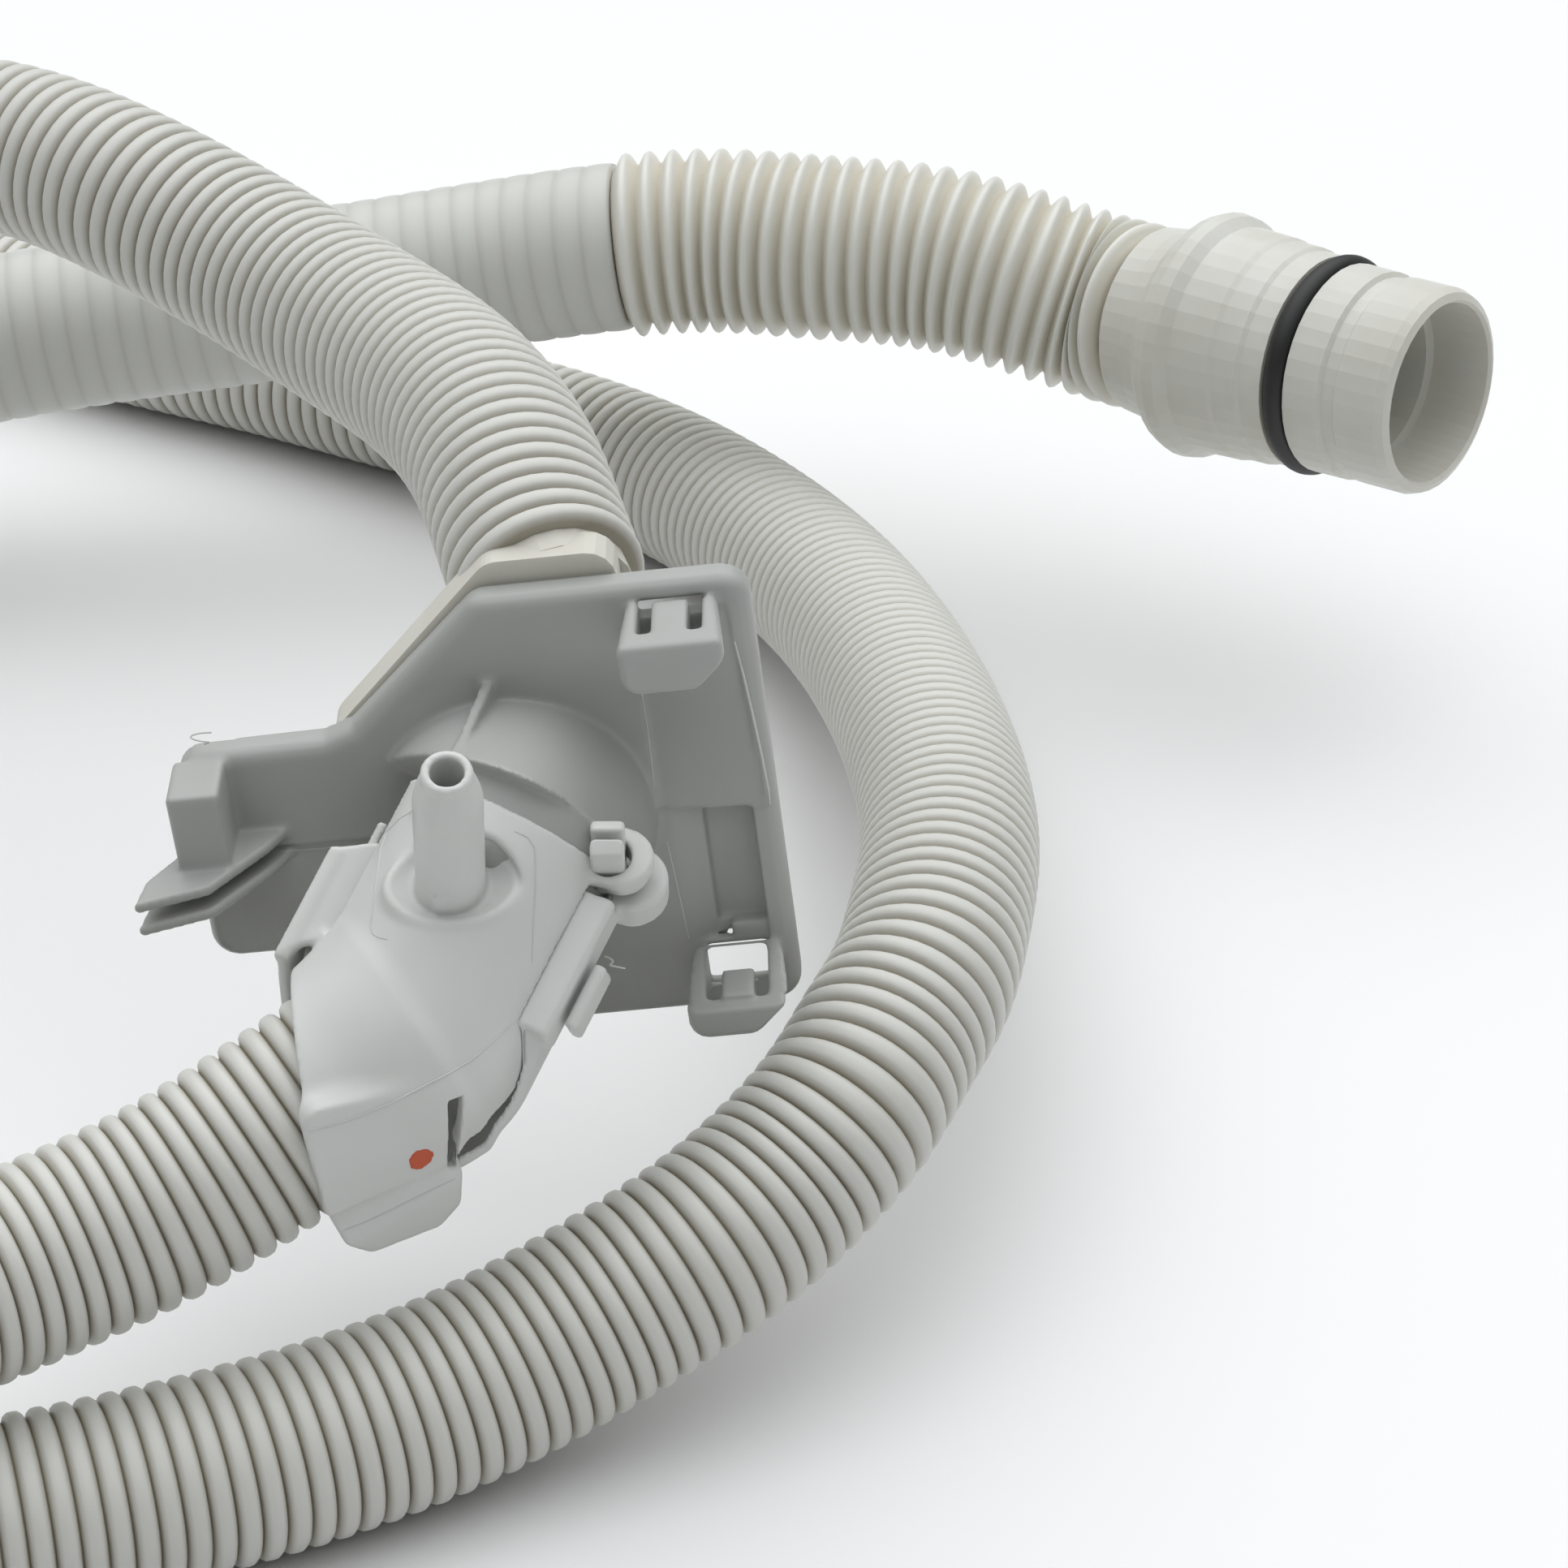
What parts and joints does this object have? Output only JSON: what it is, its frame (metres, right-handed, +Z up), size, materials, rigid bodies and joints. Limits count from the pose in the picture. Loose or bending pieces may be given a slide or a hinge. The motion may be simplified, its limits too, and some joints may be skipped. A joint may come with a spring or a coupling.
{
  "type": "washing machine drain hose",
  "caption": "Corrugated drain hose lying in loops, with a bellows pump connector, a wall bracket with an elbow, and a plain drain end.",
  "frame": {"origin": "centre of the bounding box in X and Y, on the floor that the hose lies on", "axes": "+Z up, -Y towards the viewer of the picture, +X to the right"},
  "size_m": [0.4646, 0.4268, 0.1254],
  "materials": {
    "warm_grey_polypropylene": "extruded, soft sheen",
    "cream_polypropylene": "moulded, soft sheen",
    "sleeve_grey_vinyl": "smooth, dull sheen",
    "cool_grey_polypropylene": "moulded, satin",
    "black_rubber": "smooth rubber"
  },
  "bodies": {
    "root": {"pump_connector": "cream_polypropylene", "o_ring": "black_rubber", "bellows_hose": "cream_polypropylene", "smooth_sleeve": "sleeve_grey_vinyl", "pump_side_hose": "warm_grey_polypropylene", "elbow_hood": "cool_grey_polypropylene", "elbow_lower_shell": "cool_grey_polypropylene", "bracket_plate": "cool_grey_polypropylene", "back_cover": "cream_polypropylene", "drain_side_hose": "warm_grey_polypropylene", "drain_end_cuff": "warm_grey_polypropylene"}
  },
  "joints": []
}
